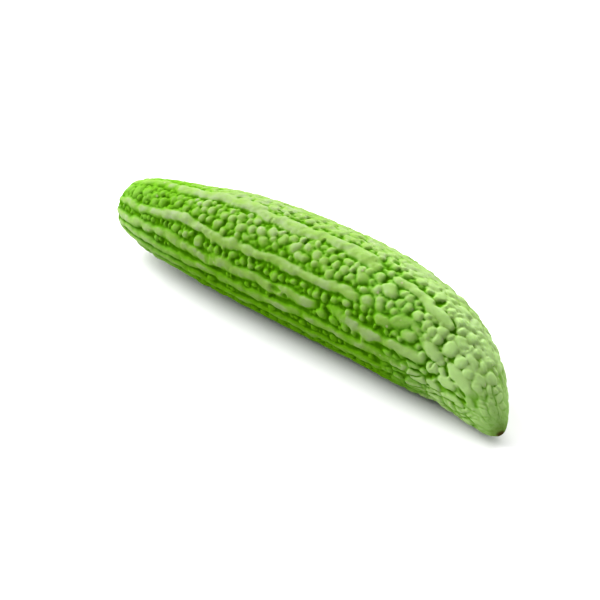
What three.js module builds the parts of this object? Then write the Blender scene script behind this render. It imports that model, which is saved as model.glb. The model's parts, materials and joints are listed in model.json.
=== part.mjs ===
// A bitter gourd, lying on a surface. Millimetres, +Z up.
//
// The fruit grew as one piece, so it is one closed solid. Its length runs along X, with the blunt
// stem end at -X and the pointed tip at +X. The origin is the bottom centre of its bounding box.
//
// Places on the skin are given as [station, angle]: the station is the distance along the fruit's
// bent axis from the stem end, in millimetres, and the angle goes round the axis in degrees, from
// 0 on top, growing towards -Y, with 180 underneath.

import * as THREE from 'three';
import { ConvexHull } from 'three/addons/math/ConvexHull.js';

// ---------------------------------------------------------------- driving dimensions

const AXIS_LENGTH = 256;

// The bent axis, at even steps of its length: the middle bows towards +Y and the tip droops.
const AXIS_POINTS = [
  [-124.2, -3.2, 20],
  [-82.8, -2.1, 24.1],
  [-40.9, 3.7, 26.5],
  [1.8, 9.3, 26.2],
  [44.6, 12.4, 25.5],
  [88.6, 11.1, 19.9],
  [124.1, 2.2, 6.7],
];

// Radius of the body at the bottom of its grooves: [station, radius].
const BODY_PROFILE = [
  [0, 0],
  [5, 13],
  [15, 14.9],
  [30, 17.3],
  [50, 19.3],
  [76, 22.4],
  [107, 24],
  [140, 24.5],
  [170, 23.7],
  [198, 20.9],
  [218, 15.9],
  [234, 11.7],
  [244, 8],
  [251, 4.6],
  [256, 0],
];

const RIDGE_HEIGHT = 2.8;
const WART_HEIGHT = 2.6;
const WART_STEEPNESS = 1.05; // height of a small wart for each millimetre of its half width
const CROWN_POWER = 2.5; // above 2, so that crowns are flat and their sides steep
const FADE_AT_STEM = { over: 18, to: 0.7 };
const FADE_AT_TIP = { over: 34, to: 0.4 };

// The long ridges: half width in millimetres, and the course as [station, angle] pairs.
const RIDGES = [
  { halfWidth: 4.2, course: [[1, 6], [40, 6], [60, 7], [80, 9], [110, 13], [140, 11], [173, 12]] },
  { halfWidth: 2.9, course: [[183, 13], [210, 12]] },
  {
    halfWidth: 3.3,
    course: [[1, 56], [14, 55], [30, 54], [50, 51], [66, 52], [80, 57], [110, 57], [170, 52]],
  },
  { halfWidth: 3.3, course: [[1, 80], [40, 78], [60, 80], [80, 83], [110, 83], [130, 81], [153, 78]] },
  { halfWidth: 3.3, course: [[170, 78], [190, 76], [200, 73], [209, 69]] },
  {
    halfWidth: 2.9,
    course: [[1, 102], [40, 98], [60, 99], [100, 100], [150, 97], [180, 95], [205, 94], [234, 88]],
  },
  { halfWidth: 2.6, course: [[2, 119], [40, 114], [90, 117], [150, 116], [200, 112], [226, 107]] },
  { halfWidth: 3.3, course: [[1, 138], [30, 134], [60, 137], [120, 141], [170, 139], [222, 134]] },
  { halfWidth: 3.4, course: [[1, 168], [60, 168], [120, 170], [180, 170], [226, 167]] },
  { halfWidth: 3.3, course: [[1, 194], [60, 192], [120, 192], [180, 193], [219, 192]] },
  { halfWidth: 3.2, course: [[1, 222], [60, 220], [118, 224], [152, 222]] },
  { halfWidth: 2.8, course: [[164, 221], [198, 224]] },
  { halfWidth: 3.5, course: [[1, 254], [60, 259], [120, 264], [172, 261]] },
  { halfWidth: 2.7, course: [[184, 262], [214, 266]] },
  { halfWidth: 3.3, course: [[1, 292], [50, 300], [112, 297]] },
  { halfWidth: 2.7, course: [[124, 299], [161, 303]] },
  { halfWidth: 3.4, course: [[1, 332], [60, 336], [100, 332], [138, 330]] },
  { halfWidth: 2.7, course: [[152, 333], [187, 329]] },
];
const RIDGE_WANDER = [{ wave: 58, degrees: 1.6 }, { wave: 21, degrees: 0.9 }];
const RIDGE_SWELL = [{ wave: 37, share: 0.12 }, { wave: 13, share: 0.08 }];
const RIDGE_END = 1.7; // length of a ridge's rounded end, in half widths

// The warts that stand out: [station, angle, length, width, turn in degrees].
const WARTS = [
  // between the two upper ridges
  [34, 31, 5, 4, 0], [30.5, 36, 3.5, 3, 0], [42, 37, 5.5, 5, 0], [47, 29, 5, 4, 0],
  [52, 33.5, 6, 3.6, -20], [59, 27, 5, 4, 35], [58, 37, 5, 4, 0], [64.5, 26, 4, 4, 0],
  [65, 37, 5, 5, 0], [69.5, 32, 4, 3, 0], [74, 31, 6, 5, 0], [71, 42, 4.5, 3.4, 0],
  [76, 41, 4, 3.4, 0], [79, 27, 4, 3.4, 0], [82.5, 32, 5, 5, 0], [81.5, 43, 6, 5, 0],
  [87.5, 32, 5, 4.6, 0], [91.5, 27, 4, 3.5, 0], [88.5, 41, 5, 4, 0], [95, 38.5, 9, 4.2, -28],
  [100.5, 24.5, 5, 5, 0], [100, 46, 6, 2.8, 0], [106, 34, 7.4, 5.4, 0], [103, 42, 4, 2.6, 0],
  [109.5, 43, 8, 4.6, 10], [116, 27, 4, 3, 0], [119.5, 33, 6, 6, 0], [114.5, 37, 4, 2.8, 0],
  [117, 42, 4, 4, 0], [122.5, 46, 5, 2.4, 0], [127.5, 36, 9, 5.6, -38], [134, 30.5, 5.6, 5, 0],
  [133.5, 41, 10, 3.8, 0], [137, 23.5, 5, 3, 40], [140.5, 33, 6, 5, 0], [145, 22.5, 4.6, 3.4, 0],
  [146, 36, 5, 5, 0], [149, 29, 5, 4.2, 0], [142, 42.5, 4, 3, 0], [147.5, 42.5, 5, 3, 0],
  [152.5, 34, 4.6, 4.2, 0], [157.3, 35, 5, 4.8, 0], [156.5, 25.5, 5.4, 3.4, 0], [151.5, 23, 5, 2.6, 15],
  [161, 24, 2.8, 2.8, 0], [164.3, 25.5, 3.6, 4.8, -25], [160.5, 30.5, 3, 3, 0], [167.2, 32.5, 8, 6, -12],
  [162.3, 37.5, 3.8, 2.8, 0], [168, 23, 4.6, 4.2, 0], [172.8, 22.5, 5.6, 5.4, 0], [176, 35, 5, 5.6, 0],
  [181, 28, 11, 7, 0], [171.3, 42, 4.2, 3, 0], [175.5, 49.5, 9, 6, 0], [180.7, 42, 4, 2.8, 0],
  [182, 48, 6, 4, 30], [185.3, 40.5, 3.6, 3.6, 0], [188.6, 42.5, 4, 3, 0], [188.2, 32, 4.2, 3.4, 0],
  [192, 30, 4.6, 3.4, 0], [192, 36, 5, 2.2, 0], [186.5, 57.5, 13, 5.8, 0], [194, 47, 13.5, 6.6, -27],
  [176, 57.5, 4.2, 3.6, 0], [172.3, 60, 4, 3, 0], [180.5, 62.5, 4, 3, 0], [167, 62.5, 6, 3.4, 0],
  [197.7, 31.5, 6.4, 5.6, 0], [203, 31.5, 2.8, 4.8, 0], [206.3, 34, 4, 4.4, 0], [210, 35, 4.8, 4.8, 0],
  [209, 24, 5.8, 4, 0], [216.7, 29.5, 7.2, 6.2, 0], [223.7, 28, 5.6, 5.2, -12], [229, 28, 5.8, 5, -12],
  [201, 43.5, 4, 2.6, 0], [206, 42, 4, 2.8, 0], [200, 54.5, 9, 4.8, -12], [211.8, 49.5, 15, 5.6, 0],
  [228, 45.5, 18, 6, 0], [194, 61.5, 4, 2.4, 0], [209.5, 64, 5, 4.6, 0], [216.5, 67, 8, 6.4, 0],
  [226, 66, 12, 6, -10], [239.5, 57, 8, 3.4, 0], [235.5, 25, 6, 3.2, 0],
  // along the top
  [216.5, 12, 7.6, 4.6, 0], [225.5, 12, 8.4, 4, 0], [196, -5, 6, 6, 0], [209, -4, 4.6, 5, 0],
  [216.5, -6, 6, 6, 0], [222.5, -3, 4, 4, 0], [227, -17, 4.6, 5, 0], [234.5, -11, 5.6, 4.6, 0],
  [240, -18, 5, 3.4, 0], [229, -4, 6, 3.4, 0], [203.5, -3, 3.8, 4.2, 0], [180, 1, 5, 4, 0],
  [186, -5, 5.6, 5, 0], [163.5, -5, 5, 4.6, 0], [173.5, 2, 4.4, 3.4, 0], [155, -4, 5, 5, 0],
  // the narrow row below the second ridge
  [72, 68, 3.2, 4.4, 0], [75.6, 69, 2.4, 4.4, 0], [79, 70, 2.8, 4, 0], [86.5, 70.5, 4.2, 4.4, 0],
  [96.5, 68, 7.4, 3, -22], [102.7, 70, 4.6, 4.4, 0], [108, 71, 4, 3.4, 0], [112.7, 69.5, 5, 2.8, -20],
  [118, 70, 5, 3, 0], [127.5, 69, 4.4, 3, 0], [135, 67, 6, 2.6, -15], [141, 65, 5.4, 3, 0],
  [146, 69, 4.4, 3, 0], [154.5, 68, 3.6, 5, -15], [162.5, 75, 14, 6, 0], [61, 67, 3.8, 3.2, 0],
  [175.5, 86.5, 3.4, 3, 0], [180, 87.5, 4, 3, 0], [193.5, 86.5, 6, 3.4, 10], [207, 81.5, 9, 2.6, -8],
  // the smooth plates that close in on the tip
  [237, 82, 25, 4.6, 0], [240, 102, 20, 4, 0], [241, 38, 9, 3.2, 0], [244, 10, 10, 3, 0],
  [245, 65, 10, 2.6, 0], [239, 128, 24, 4.4, 0], [238, 155, 22, 4.4, 0], [234, 190, 24, 4.8, 0],
  [239, 222, 20, 4.2, 0], [230, 248, 24, 4.6, 0], [238, 275, 22, 4.2, 0], [226, 300, 26, 4.8, 0],
  [242, 325, 18, 3.8, 0], [244, 350, 12, 3, 0],
];

// Further warts fill what room is left, from the largest size to the smallest.
const FILL_SEED = 4217;
const FILL_HALF_SIZES = [3.5, 3, 2.6, 2.2, 1.9, 1.6];
const FILL_TRIES = 9000;
const FILL_FROM = 24;
const FILL_TO = 248;
const FILL_JITTER = 0.12;
const FILL_STRETCH = 0.55; // the longest is this much longer than it is wide
const FILL_TURN = 25;

const STEM_SCAR = { radius: 3.4, height: 1.4, dimpleRadius: 8, dimpleDepth: 1.3 };
const TIP_NUB = { radius: 1.8, height: 0.6 };

// The skin's facets: how close two crown corners or any two corners may come, and the most corners.
const CROWN_SPACING = 1.7;
const CORNER_SPACING = 0.9;
const MOST_CORNERS = 5950;
const REFINED_SHARE = 0.04; // share of the triangles split in each round of refining

const GREEN = 0x8fbf55;

// ---------------------------------------------------------------- small helpers

const TURN = 360;

/** Angle difference in degrees, brought into -180..180. */
function angleBetween(a, b) {
  return THREE.MathUtils.euclideanModulo(a - b + TURN / 2, TURN) - TURN / 2;
}

/** A smooth curve through [x, y] pairs that never swings past them (a monotone cubic). */
function curveThrough(pairs) {
  const last = pairs.length - 1;
  const secants = [];
  for (let i = 0; i < last; i += 1) {
    secants.push((pairs[i + 1][1] - pairs[i][1]) / (pairs[i + 1][0] - pairs[i][0]));
  }
  const slopes = [secants[0]];
  for (let i = 1; i < last; i += 1) {
    const product = secants[i - 1] * secants[i];
    slopes.push(product > 0 ? (2 * product) / (secants[i - 1] + secants[i]) : 0);
  }
  slopes.push(secants[last - 1]);
  return (x) => {
    let i = 0;
    while (i < last - 1 && x > pairs[i + 1][0]) i += 1;
    const span = pairs[i + 1][0] - pairs[i][0];
    const u = THREE.MathUtils.clamp((x - pairs[i][0]) / span, 0, 1);
    const rise = u * u * (3 - 2 * u);
    const bulge = u * (1 - u) * span * ((1 - u) * slopes[i] - u * slopes[i + 1]);
    return pairs[i][1] * (1 - rise) + pairs[i + 1][1] * rise + bulge;
  };
}

/** Sum of sine waves, each { wave, [key] }, at a station; the phase sets one ridge off from another. */
function waves(list, key, station, phase) {
  let sum = 0;
  for (const item of list) {
    sum += item[key] * Math.sin((2 * Math.PI * station) / item.wave + phase * item.wave);
  }
  return sum;
}

/** Repeatable random numbers from 0 to 1 (the Park-Miller generator). */
function randomNumbers(seed) {
  let state = seed;
  return () => {
    state = (state * 16807) % 2147483647;
    return state / 2147483647;
  };
}

// ---------------------------------------------------------------- the smooth body

const axis = new THREE.CatmullRomCurve3(
  AXIS_POINTS.map((point) => new THREE.Vector3(...point)), false, 'catmullrom', 0.5,
);

/** The bend of the profile is drawn over this angle, which makes both ends round. */
function bendAngle(station) {
  return Math.acos(THREE.MathUtils.clamp(1 - (2 * station) / AXIS_LENGTH, -1, 1));
}

const profileCurve = curveThrough(BODY_PROFILE.map(([station, radius]) => [bendAngle(station), radius]));

function bodyRadius(station) {
  return profileCurve(bendAngle(station));
}

const PROFILE_STEP = 0.02;

/** A place on the smooth body: its position, outward normal and two directions along the skin. */
function bodyAt(station, angle) {
  const along = THREE.MathUtils.clamp(station / AXIS_LENGTH, 0, 1);
  const forward = axis.getTangent(along);
  const up = new THREE.Vector3(0, 0, 1).addScaledVector(forward, -forward.z).normalize();
  const side = new THREE.Vector3().crossVectors(forward, up);
  const turn = THREE.MathUtils.degToRad(angle);
  const outward = up.clone().multiplyScalar(Math.cos(turn)).addScaledVector(side, Math.sin(turn));
  const around = side.clone().multiplyScalar(Math.cos(turn)).addScaledVector(up, -Math.sin(turn));
  const position = axis.getPoint(along).addScaledVector(outward, bodyRadius(station));
  const low = Math.max(station - PROFILE_STEP, 0);
  const high = Math.min(station + PROFILE_STEP, AXIS_LENGTH);
  const widening = (bodyRadius(high) - bodyRadius(low)) / (high - low);
  const normal = outward.clone().addScaledVector(forward, -widening).normalize();
  const onward = forward.clone().addScaledVector(outward, widening).normalize();
  return { station, angle, position, normal, onward, around, axialShare: 1 / Math.hypot(1, widening) };
}

/** The [station, angle] reached from a place by going so many millimetres onward and around. */
function stepFrom({ station, angle, axialShare }, onward, around) {
  return [station + onward * axialShare, angle + THREE.MathUtils.radToDeg(around / bodyRadius(station))];
}

// ---------------------------------------------------------------- ridges and warts
//
// Each ridge and wart is a feature: its reach at a place, which is 0 on its middle and 1 at its foot,
// its full height there, and the spots on its crown that the facets have corners on.

/** Height of a rounded crown, as a share, at a reach of 0 to 1. */
function crown(reach) {
  return reach >= 1 ? 0 : 1 - reach ** CROWN_POWER;
}

/** The relief sinks towards both ends of the fruit. */
function fade(station) {
  const stem = THREE.MathUtils.smoothstep(station, 0, FADE_AT_STEM.over);
  const tip = THREE.MathUtils.smoothstep(AXIS_LENGTH - station, 0, FADE_AT_TIP.over);
  return THREE.MathUtils.lerp(FADE_AT_STEM.to, 1, stem) * THREE.MathUtils.lerp(FADE_AT_TIP.to, 1, tip);
}

const FULL_GIRTH = 19; // where the body is thinner than this, the ridges narrow with it
const RIDGE_SPOT_STEP = 3.2; // corners alternate between the two sides of a ridge's crown
const RIDGE_SPOT_SHARE = 0.42;

function makeRidge({ halfWidth, course }, index) {
  const middle = curveThrough(course);
  const from = course[0][0];
  const to = course[course.length - 1][0];
  const girthAt = (station) => Math.min(bodyRadius(station) / FULL_GIRTH, 1);
  const swellAt = (station) => 1 + waves(RIDGE_SWELL, 'share', station, index);
  const halfAt = (station) => halfWidth * girthAt(station) * swellAt(station);
  const headingAt = (station) => middle(station) + waves(RIDGE_WANDER, 'degrees', station, index + 1);
  const reachAt = ({ station, angle }) => {
    if (station <= from || station >= to) return 1;
    const half = halfAt(station);
    const offset = THREE.MathUtils.degToRad(angleBetween(angle, headingAt(station)));
    const across = (offset * bodyRadius(station)) / half;
    if (Math.abs(across) >= 1) return 1;
    const end = RIDGE_END * half;
    const intoEnd = Math.max(from + end - station, station - (to - end), 0) / end;
    return Math.hypot(across, intoEnd);
  };
  const heightAt = ({ station }) => RIDGE_HEIGHT * Math.sqrt(girthAt(station)) * fade(station);
  const spots = [];
  const steps = Math.round((to - from) / RIDGE_SPOT_STEP);
  for (let i = 1; i < steps; i += 1) {
    const station = THREE.MathUtils.lerp(from, to, i / steps);
    const share = i % 2 ? RIDGE_SPOT_SHARE : -RIDGE_SPOT_SHARE;
    const place = { station, angle: headingAt(station), axialShare: 1 };
    spots.push(stepFrom(place, 0, share * halfAt(station)));
  }
  return { reachAt, heightAt, spots };
}

/** Spots on a wart's outline, drawn in by a share. */
function rimOf([station, angle, length, width, turn], share, count) {
  const place = bodyAt(station, angle);
  const tilt = THREE.MathUtils.degToRad(turn);
  const spots = [];
  for (let i = 0; i < count; i += 1) {
    const round = (2 * Math.PI * i) / count;
    const long = (Math.cos(round) * share * length) / 2;
    const cross = (Math.sin(round) * share * width) / 2;
    const onward = long * Math.cos(tilt) - cross * Math.sin(tilt);
    const around = long * Math.sin(tilt) + cross * Math.cos(tilt);
    spots.push(stepFrom(place, onward, around));
  }
  return spots;
}

const WART_SPOT_STEP = 3.6;

function makeWart(wart) {
  const [station, angle, length, width, turn] = wart;
  const { position, onward, around } = bodyAt(station, angle);
  const tilt = THREE.MathUtils.degToRad(turn);
  const long = onward.clone().multiplyScalar(Math.cos(tilt)).addScaledVector(around, Math.sin(tilt));
  const cross = around.clone().multiplyScalar(Math.cos(tilt)).addScaledVector(onward, -Math.sin(tilt));
  const height = Math.min(WART_HEIGHT, (WART_STEEPNESS * Math.min(length, width)) / 2) * fade(station);
  const furthest = (Math.max(length, width) / 2) ** 2;
  const offset = new THREE.Vector3();
  const reachAt = (place) => {
    offset.subVectors(place.position, position);
    if (offset.lengthSq() >= furthest) return 1;
    return Math.hypot(offset.dot(long) / (length / 2), offset.dot(cross) / (width / 2));
  };
  const crownLength = Math.max(length - width, 0);
  const steps = Math.round(crownLength / WART_SPOT_STEP);
  const spots = steps ? [] : [[station, angle]];
  for (let i = 0; steps && i <= steps; i += 1) {
    spots.push(...rimOf([station, angle, crownLength, 0, turn], (2 * i) / steps - 1, 1));
  }
  return { reachAt, heightAt: () => height, spots };
}

/** The stem end: a round scar in a shallow dimple. */
function stemScar(place) {
  const distance = place.position.distanceTo(axis.getPoint(0));
  const hollow = 1 - THREE.MathUtils.smoothstep(distance, 0, STEM_SCAR.dimpleRadius);
  return STEM_SCAR.height * crown(distance / STEM_SCAR.radius) - STEM_SCAR.dimpleDepth * hollow;
}

function tipNub(place) {
  return TIP_NUB.height * crown(place.position.distanceTo(axis.getPoint(1)) / TIP_NUB.radius);
}

const ROOM_RIM = { share: 0.85, count: 8 };
const ROOM_REACH = 0.88;

/** True where a wart would stand clear of everything that is there already. */
function hasRoom(features, wart) {
  const spots = [[wart[0], wart[1]], ...rimOf(wart, ROOM_RIM.share, ROOM_RIM.count)];
  return spots.every((spot) => {
    const place = bodyAt(...spot);
    return features.every((feature) => feature.reachAt(place) > ROOM_REACH);
  });
}

/** Fills the grooves with ever smaller warts, from a fixed seed. */
function fillWarts(features) {
  const random = randomNumbers(FILL_SEED);
  const thickest = Math.max(...BODY_PROFILE.map(([, radius]) => radius));
  for (const half of FILL_HALF_SIZES) {
    for (let i = 0; i < FILL_TRIES; i += 1) {
      const station = THREE.MathUtils.lerp(FILL_FROM, FILL_TO, random());
      const angle = TURN * random();
      const keep = random() * thickest < bodyRadius(station);
      const width = 2 * half * (1 + FILL_JITTER * (2 * random() - 1));
      const length = width * (1 + FILL_STRETCH * random());
      const turn = FILL_TURN * (2 * random() - 1);
      const wart = [station, angle, length, width, turn];
      if (keep && hasRoom(features, wart)) features.push(makeWart(wart));
    }
  }
}

const features = [...RIDGES.map(makeRidge), ...WARTS.map(makeWart)];
fillWarts(features);

function reliefAt(place) {
  let height = tipNub(place);
  for (const feature of features) {
    const reach = feature.reachAt(place);
    if (reach < 1) height = Math.max(height, feature.heightAt(place) * crown(reach));
  }
  return height + stemScar(place);
}

/** The finished skin: the smooth body raised by its relief, and pressed flat where it rests. */
function skinAt(station, angle) {
  const place = bodyAt(station, angle);
  const point = place.position.addScaledVector(place.normal, reliefAt(place));
  point.z = Math.max(point.z, 0);
  return point;
}

// ---------------------------------------------------------------- facets
//
// The corners are netted on a unit sphere, onto which the body unrolls without changing the shape of
// small triangles: their convex hull there is the best-shaped net that closes round the whole fruit.
// The crowns are netted first. The middle of the circle round each of those triangles is as far as
// can be from its crowns, so it lies in a groove, and the grooves get their corners there.

const MERIDIAN_STEPS = 1500;

/** Stations from stem to tip, with the body's radius and its unrolled length in radii. */
function unrollMeridian() {
  const rows = [];
  let unrolled = 0;
  for (let i = 1; i < MERIDIAN_STEPS; i += 1) {
    const bend = (Math.PI * i) / MERIDIAN_STEPS;
    const station = (AXIS_LENGTH * (1 - Math.cos(bend))) / 2;
    const radius = bodyRadius(station);
    const before = rows[rows.length - 1];
    if (before) {
      const run = Math.hypot(station - before.station, radius - before.radius);
      unrolled += (2 * run) / (radius + before.radius);
    }
    rows.push({ station, radius, unrolled });
  }
  const middle = unrolled / 2;
  for (const row of rows) row.unrolled -= middle;
  return rows;
}

const meridian = unrollMeridian();

/** Reads one column of the meridian at a value of another. */
function readMeridian(from, value, to) {
  let low = 0;
  let high = meridian.length - 1;
  while (high - low > 1) {
    const centre = (low + high) >> 1;
    if (meridian[centre][from] > value) high = centre;
    else low = centre;
  }
  const span = meridian[high][from] - meridian[low][from];
  const share = THREE.MathUtils.clamp((value - meridian[low][from]) / span, 0, 1);
  return THREE.MathUtils.lerp(meridian[low][to], meridian[high][to], share);
}

/** A corner at a place on the skin, with its point on the sphere. */
function corner(station, angle) {
  const unrolled = readMeridian('station', station, 'unrolled');
  const turn = THREE.MathUtils.degToRad(angle);
  const ring = 1 / Math.cosh(unrolled);
  const onSphere = new THREE.Vector3(ring * Math.cos(turn), ring * Math.sin(turn), Math.tanh(unrolled));
  return { onSphere, point: skinAt(station, angle) };
}

function pole(height, station) {
  return { onSphere: new THREE.Vector3(0, 0, height), point: skinAt(station, 0) };
}

/** The place on the skin of a direction in the sphere. */
function placeOf(direction) {
  const unrolled = Math.asinh(direction.z / Math.hypot(direction.x, direction.y));
  const angle = THREE.MathUtils.radToDeg(Math.atan2(direction.y, direction.x));
  return [readMeridian('unrolled', unrolled, 'station'), angle];
}

function isCrowded(corners, { point }, spacing) {
  return corners.some((item) => item.point.distanceTo(point) < spacing);
}

/** Triangles of corner numbers, all facing out, and the middle of the circle round each. */
function netOf(corners) {
  const numbers = new Map(corners.map((item, i) => [item.onSphere, i]));
  const hull = new ConvexHull().setFromPoints(corners.map((item) => item.onSphere));
  return hull.faces.map(({ edge, normal }) => ({
    triangle: [edge, edge.next, edge.next.next].map((side) => numbers.get(side.head().point)),
    middle: normal,
  }));
}

const SETTLE_STEPS = [0.6, 0.3];
const SETTLE_WAYS = [[1, 0], [-1, 0], [0, 1], [0, -1]];

/** Slides a spot downhill into the groove beside it. */
function settle(spot) {
  let best = bodyAt(...spot);
  let lowest = reliefAt(best);
  for (const step of SETTLE_STEPS) {
    const start = best;
    for (const [onward, around] of SETTLE_WAYS) {
      const place = bodyAt(...stepFrom(start, step * onward, step * around));
      const height = reliefAt(place);
      if (height < lowest) {
        lowest = height;
        best = place;
      }
    }
  }
  return [best.station, best.angle];
}

function addCorner(corners, [station, angle], spacing) {
  if (station <= 0 || station >= AXIS_LENGTH || corners.length >= MOST_CORNERS) return;
  const candidate = corner(station, angle);
  if (!isCrowded(corners, candidate, spacing)) corners.push(candidate);
}

// Where a triangle is tried against the true skin: shares of its three corners.
const TRIAL_SHARES = [
  [1 / 3, 1 / 3, 1 / 3],
  [0.6, 0.2, 0.2], [0.2, 0.6, 0.2], [0.2, 0.2, 0.6],
  [0.46, 0.46, 0.08], [0.46, 0.08, 0.46], [0.08, 0.46, 0.46],
];

/** The spot in a triangle where the skin stands furthest off it. */
function worstIn(triangle) {
  const plane = new THREE.Plane().setFromCoplanarPoints(...triangle.map((item) => item.point));
  let worst = { error: 0 };
  for (const shares of TRIAL_SHARES) {
    const direction = new THREE.Vector3();
    shares.forEach((share, i) => direction.addScaledVector(triangle[i].onSphere, share));
    const spot = placeOf(direction);
    const error = Math.abs(plane.distanceToPoint(skinAt(...spot)));
    if (error > worst.error) worst = { error, spot };
  }
  return worst;
}

/** Adds corners where the facets miss the skin most, until there are enough. */
function refine(corners) {
  while (corners.length < MOST_CORNERS) {
    const worst = netOf(corners).map(({ triangle }) => worstIn(triangle.map((i) => corners[i])));
    worst.sort((a, b) => b.error - a.error);
    const share = Math.ceil(worst.length * REFINED_SHARE);
    for (const { spot } of worst.slice(0, share)) addCorner(corners, spot, CORNER_SPACING);
  }
}

function makeGeometry() {
  const corners = [pole(-1, 0), pole(1, AXIS_LENGTH)];
  for (const { spots } of features) {
    for (const spot of spots) addCorner(corners, spot, CROWN_SPACING);
  }
  const grooves = netOf(corners).map(({ middle }) => settle(placeOf(middle)));
  for (const spot of grooves) addCorner(corners, spot, CORNER_SPACING);
  refine(corners);
  const geometry = new THREE.BufferGeometry().setFromPoints(corners.map((item) => item.point));
  geometry.setIndex(netOf(corners).flatMap(({ triangle }) => triangle));
  geometry.computeBoundingBox();
  const box = geometry.boundingBox;
  geometry.translate(-(box.min.x + box.max.x) / 2, -(box.min.y + box.max.y) / 2, -box.min.z);
  geometry.computeVertexNormals();
  return geometry;
}

// ---------------------------------------------------------------- the part

const skin = new THREE.MeshStandardMaterial({ color: GREEN, roughness: 0.45, metalness: 0 });
const gourd = new THREE.Mesh(makeGeometry(), skin);
gourd.name = 'gourd';

const part = new THREE.Group();
part.add(gourd);

export default part;
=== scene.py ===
# %% [markdown]
# # A bitter gourd
#
# A bitter gourd is a long fruit with a thin waxy skin. Rope-like ridges run from its blunt stem end to its
# pointed tip, and the grooves between them are packed with warts of all sizes, like drops of candle wax.
#
# The fruit grew as one piece, so it is made here as one closed skin. The plan is:
#
# 1. draw the smooth body from a bent axis and a profile,
# 2. lay out the ridges and warts as lists of places on that body,
# 3. let Geometry Nodes grow them and stretch one skin over everything,
# 4. colour the skin, and set it in plain soft light.
#
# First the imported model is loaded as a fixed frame. Its box is kept, to compare sizes at the end.

import json
import math

import bpy
import numpy as np
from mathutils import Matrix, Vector

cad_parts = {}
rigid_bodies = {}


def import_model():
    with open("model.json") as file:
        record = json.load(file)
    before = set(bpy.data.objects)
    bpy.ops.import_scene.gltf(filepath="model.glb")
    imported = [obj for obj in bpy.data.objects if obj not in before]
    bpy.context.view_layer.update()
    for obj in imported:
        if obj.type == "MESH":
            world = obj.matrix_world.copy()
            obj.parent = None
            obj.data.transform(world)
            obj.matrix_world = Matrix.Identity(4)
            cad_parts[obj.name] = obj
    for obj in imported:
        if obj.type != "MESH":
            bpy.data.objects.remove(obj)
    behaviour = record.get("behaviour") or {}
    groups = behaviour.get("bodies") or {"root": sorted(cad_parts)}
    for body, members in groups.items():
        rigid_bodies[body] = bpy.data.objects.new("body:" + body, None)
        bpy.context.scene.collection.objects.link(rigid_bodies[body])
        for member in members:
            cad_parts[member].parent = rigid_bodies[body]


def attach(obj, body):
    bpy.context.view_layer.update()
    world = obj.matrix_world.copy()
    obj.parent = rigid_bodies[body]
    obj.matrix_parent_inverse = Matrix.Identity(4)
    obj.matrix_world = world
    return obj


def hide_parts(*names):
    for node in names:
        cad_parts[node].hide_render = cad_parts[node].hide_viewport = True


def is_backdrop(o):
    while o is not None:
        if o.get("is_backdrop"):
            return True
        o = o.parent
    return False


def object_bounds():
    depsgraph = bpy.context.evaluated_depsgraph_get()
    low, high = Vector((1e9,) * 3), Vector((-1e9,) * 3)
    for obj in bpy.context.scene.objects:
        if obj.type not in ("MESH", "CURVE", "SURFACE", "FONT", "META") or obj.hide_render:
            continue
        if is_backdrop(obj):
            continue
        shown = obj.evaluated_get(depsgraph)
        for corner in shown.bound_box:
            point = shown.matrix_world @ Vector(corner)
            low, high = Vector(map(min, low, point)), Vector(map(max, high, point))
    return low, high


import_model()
cad_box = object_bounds()
MM = 0.001  # the lists below are in millimetres, and Blender works in metres
print("CAD box in mm:", [[round(v / MM, 2) for v in corner] for corner in cad_box])

# %% [markdown]
# ## Where the camera stands
#
# The camera comes early, so that every later step can be looked at from the same side. It looks at the
# fruit from between its front and its tip end, 30 degrees above, through a long lens, which keeps the
# far end from shrinking.

# %% The camera
CAMERA_PLACE = (0.511115, -0.451329, 0.407731)
CAMERA_AZIMUTH = 49.07  # degrees round the fruit, 0 looks along +Y
CAMERA_ELEVATION = 30.0
LENS_ANGLE = 20.0


def look_along(azimuth, elevation):
    """The direction that a camera looks in, for its angles in degrees."""
    turn, tilt = math.radians(azimuth), math.radians(elevation)
    return Vector((-math.sin(turn) * math.cos(tilt), math.cos(turn) * math.cos(tilt), -math.sin(tilt)))


def add_object(name, data):
    thing = bpy.data.objects.new(name, data)
    bpy.context.scene.collection.objects.link(thing)
    return thing


camera = add_object("camera", bpy.data.cameras.new("camera"))
camera.data.angle = math.radians(LENS_ANGLE)
camera.data.clip_end = 20
camera.location = CAMERA_PLACE
camera.rotation_euler = look_along(CAMERA_AZIMUTH, CAMERA_ELEVATION).to_track_quat("-Z", "Y").to_euler()
bpy.context.scene.camera = camera
print("camera is", round(Vector(CAMERA_PLACE).length, 3), "m from the middle of the fruit's underside")

# %% [markdown]
# ## The smooth body
#
# Without its warts the fruit is a spindle round a bent axis. A lathe would make it straight. Here a
# smooth curve through seven points gives the axis, and a second curve gives the radius at each station
# along it. A place on the skin is then a station in millimetres from the stem end, and an angle round the
# axis in degrees: 0 on top, 90 towards -Y, 180 underneath.

# %% Axis and profile
AXIS_LENGTH = 256.0
AXIS_POINTS = [
    [-124.2, -3.2, 20], [-82.8, -2.1, 24.1], [-40.9, 3.7, 26.5], [1.8, 9.3, 26.2],
    [44.6, 12.4, 25.5], [88.6, 11.1, 19.9], [124.9, 2.0, 6.3],
]
BOX_MIDDLE = (0.1801, 7.7519, 0)  # middle of the finished fruit's box, which becomes the origin
BODY_PROFILE = [
    [0, 0], [5, 13], [15, 14.9], [30, 17.3], [50, 19.3], [76, 22.4], [107, 24], [140, 24.5],
    [170, 23.7], [198, 20.9], [218, 15.9], [234, 11.7], [244, 8.2], [251, 5.5], [256, 0],
]


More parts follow.
